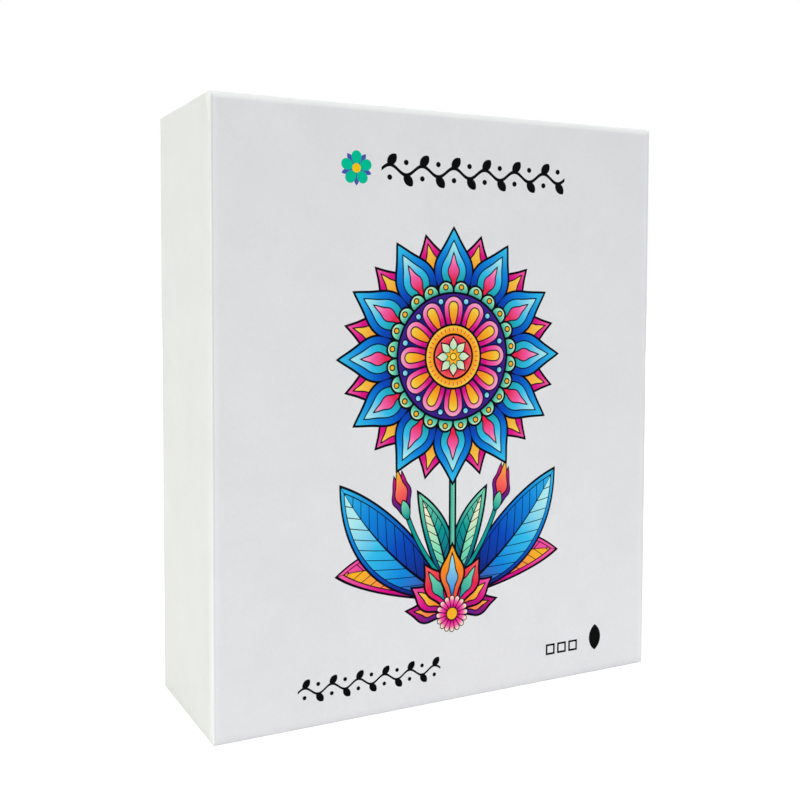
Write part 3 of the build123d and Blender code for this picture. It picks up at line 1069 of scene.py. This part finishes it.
# %% Printed plywood
PIECE = 28.0  # millimetres, as are the sizes below
BLOCK_SIZE = (5 * PIECE, 6 * PIECE)
BLOCKS = 3
PUZZLE_SCALE = 3.45  # how much larger the puzzle's picture is than the box's
BORDER = 7.0
LATTICE = 28.0


def facing(tree):
    """How much a face points up along each axis of the object."""
    normal = add(tree, "TexCoord").outputs["Normal"]
    return add(tree, "SeparateXYZ", {0: normal}).outputs


def puzzle_ground(tree, place):
    """The pale ground behind the flower: a blend from cream to sky, small blossoms and a border."""
    art = Drawing(tree, place)
    up = add(tree, "SeparateXYZ", {0: place}).outputs["Z"]
    half_height = BLOCK_SIZE[1] * BLOCKS / 2
    half_width = BLOCK_SIZE[0] * BLOCKS / 2
    dusk = colour("FFE9C4"), colour("FFE6EF"), colour("CDEBFA")
    art.colour = art.shaded(up, -half_height, half_height, *dusk)
    slanted = art.placed(0, 0, 45)
    in_cell = [art.calc("WRAP", value, LATTICE / 2, -LATTICE / 2) for value in slanted]
    petal = art.fanned(*in_cell, 5)
    petal_ink = art.shaded(up, -half_height, half_height, AMBER, PINK, SKY)
    art.paint(art.drop(*petal, 0.6, 5.6, 1.5), petal_ink)
    art.paint(art.disc(*in_cell, 0, 1.3), CREAM)
    sides = [art.calc("ABSOLUTE", value) for value in art.placed(0, 0, 0)]
    past_height = art.calc("SUBTRACT", sides[0], half_height)
    past_width = art.calc("SUBTRACT", sides[1], half_width)
    past_edge = art.calc("MAXIMUM", past_height, past_width)
    for inset, ink in ((BORDER, ROYAL), (BORDER - 1.2, SKY)):
        art.paint(art.calc("MULTIPLY", art.calc("ADD", past_edge, inset), -1), ink)
    return art.colour


print("a puzzle of", [side * BLOCKS for side in BLOCK_SIZE], "mm")

# %% [markdown]
# The plies are a wave through the thickness, and the grain is a cloud stretched along the height.

# %% Plywood
PLY = 1.17  # millimetres, a third of the thickness


def plywood(name, block_middle, puzzle_place):
    """Plywood for one block, from its middle here and the place of that middle in the puzzle."""
    material, tree, shader = new_material(name)
    place = millimetres(tree)
    shift = [there - here for here, there in zip(block_middle, puzzle_place)]
    in_puzzle = vector_calc(tree, "ADD", place, (shift[0], 0, shift[1]))
    ground = puzzle_ground(tree, in_puzzle)
    in_picture = vector_calc(tree, "MULTIPLY", in_puzzle, (1 / PUZZLE_SCALE,) * 3)
    front = printed(tree, picture, in_picture, ground)

    grain = noise(tree, place, 9.0, 5.0, (6, 1, 0.35))
    rings = noise(tree, place, 60.0, 3.0, (5, 1, 0.4))
    birch = gradient(tree, ranged(tree, calc(tree, "ADD", grain, rings), 0.75, 1.25),
                     [colour("C79B66"), colour("DDB985"), colour("E9CC9F")])
    depth = add(tree, "SeparateXYZ", {0: place}).outputs["Y"]
    ply = calc(tree, "SINE", calc(tree, "MULTIPLY", depth, 2 * math.pi / PLY))
    scorch = calc(tree, "MULTIPLY_ADD", ply, 0.12, noise(tree, place, 1.1, 3.0))
    burnt = gradient(tree, ranged(tree, scorch, 0.3, 0.75),
                     [colour("2A170B"), colour("4A2B14"), colour("6B4323")])

    normal_y = facing(tree)[1]
    tone = mixed(tree, calc(tree, "GREATER_THAN", normal_y, 0.5), burnt, birch)
    is_front = calc(tree, "LESS_THAN", normal_y, -0.5)
    tone = mixed(tree, is_front, tone, front)
    gloss = ranged(tree, is_front, 0, 1, 0.7, 0.36)
    surface(tree, shader, tone, gloss, (grain, 0.02))
    return material


print("plies of", PLY, "mm")

# %% [markdown]
# The blocks are numbered from the upper left, row by row. All of them lie at the same place in the
# box, so each one's material is told where in the puzzle that place is.

# %% Dress the blocks
def middle_of_row(row):
    """The height of the middle of a block in this row, whose knobs reach past its lower side."""
    if row == BLOCKS - 1:
        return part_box(f"puzzle_section_{BLOCKS * BLOCKS}")[0].z / MM + BLOCK_SIZE[1] / 2
    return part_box("puzzle_section_1")[1].z / MM - BLOCK_SIZE[1] / 2


for number in range(BLOCKS * BLOCKS):
    row, column = divmod(number, BLOCKS)
    block_middle = (middle_x / MM, middle_of_row(row))
    puzzle_place = ((column - 1) * BLOCK_SIZE[0], (1 - row) * BLOCK_SIZE[1])
    name = f"puzzle_section_{number + 1}"
    dress(plywood(f"printed_{name}", block_middle, puzzle_place), name)
print("nine blocks of", BLOCK_SIZE, "mm dressed")

# %% [markdown]
# ## Cards and the folded sheet
#
# Each block lies on a thin card, so that it can be lifted out whole. The folded sheet shows the
# picture on its front leaf, inside a white margin, and is plain paper everywhere else.

# %% Cards and the sheet
packing_card = fibrous("kraft_card", "CDB48C", "C2A77D", 0.85, 0.3, (1, 1, 1), 0.03, 0.18)
dress(packing_card, *[f"section_card_{number + 1}" for number in range(BLOCKS * BLOCKS)])

sheet_low, sheet_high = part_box("reference_poster")
poster_paper, tree, shader, tone, place = paper("sheet_paper", "F4F2EC", "EEECE5", 0.34, wave_size=25.0)
sheet_middle = (sheet_low + sheet_high) / 2 / MM
on_sheet = vector_calc(tree, "SUBTRACT", place, (sheet_middle.x, 0, sheet_middle.z))
front = printed(tree, picture, on_sheet, tone)
depth = add(tree, "SeparateXYZ", {0: place}).outputs["Y"]
is_leaf = calc(tree, "LESS_THAN", depth, sheet_low.y / MM + 0.05)
tree.links.new(mixed(tree, is_leaf, tone, front), shader.inputs["Base Color"])
dress(poster_paper, "reference_poster")
print(len(dressed), "of", len(nodes), "solids dressed")

# %% [markdown]
# ## Foam sheets
#
# Two sheets of white packing foam keep the layers from rattling. The foam is soft: its edges are
# round where it was cut, its faces are a little uneven, and its closed cells show as small
# dimples. The material gives it the cells.

# %% The foam's finish
def foam_finish():
    """White closed-cell foam."""
    material, tree, shader = new_material("white_foam")
    place = millimetres(tree)
    cells = add(tree, "TexVoronoi", {"Vector": place, "Scale": 0.55}, feature="SMOOTH_F1")
    clouds = noise(tree, place, 6.0)
    cloudy = calc(tree, "MULTIPLY", clouds, 0.4)
    # The tone darkens where the cells lie lowest under the bump, a painted shade in the dimples, over
    # cloudy tone that varies at random.
    share = calc(tree, "MULTIPLY_ADD", cells.outputs["Distance"], 0.5, cloudy)
    tone = gradient(tree, ranged(tree, share, 0.15, 0.75),
                    [colour("F6F7F6"), colour("EEF0EF"), colour("E0E3E2")])
    gloss = ranged(tree, clouds, 0.3, 0.7, 0.5, 0.62)
    surface(tree, shader, tone, gloss, (cells.outputs["Distance"], -0.25))
    shader.inputs["Subsurface Weight"].default_value = 0.15
    shader.inputs["Subsurface Radius"].default_value = (0.002, 0.002, 0.002)
    return material


packing_foam = foam_finish()
print(packing_foam.name, "ready")

# %% [markdown]
# The shape gives it the rest. Each sheet starts as a block with bevelled edges and is cut into a
# grid, so that a cloudy pattern can push its faces about by part of a millimetre.

# %% Make the foam sheets
FOAM_EDGE = 0.8 * MM
FOAM_GRID = 5.0 * MM
FOAM_SWELL = 0.35 * MM
FOAM_WAVE = 35.0 * MM


def anywhere(corners):
    """A test that every face and edge passes."""
    return True


swelling = bpy.data.textures.new("foam_swelling", "CLOUDS")
swelling.noise_scale = FOAM_WAVE
for side in ("back", "front"):
    low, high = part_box(f"{side}_foam_sheet")
    foam = block(f"{side}_foam", low, high)
    edit(foam, "EDGE", anywhere, bpy.ops.mesh.bevel, offset=FOAM_EDGE, segments=3, affect="EDGES")
    for way in (Vector((1, 0, 0)), Vector((0, 0, 1))):
        span = (high - low).dot(way)
        cuts = round(span / FOAM_GRID)
        for i in range(1, cuts):
            cut = low + way * span * i / cuts
            edit(foam, "FACE", anywhere, bpy.ops.mesh.bisect, plane_co=cut, plane_no=way)
    modify(foam, "DISPLACE", texture=swelling, strength=FOAM_SWELL, mid_level=0.62)
    smooth(foam, 60)
    place_on(foam, f"{side}_foam", packing_foam, "packing_foam", f"{side}_foam_sheet")
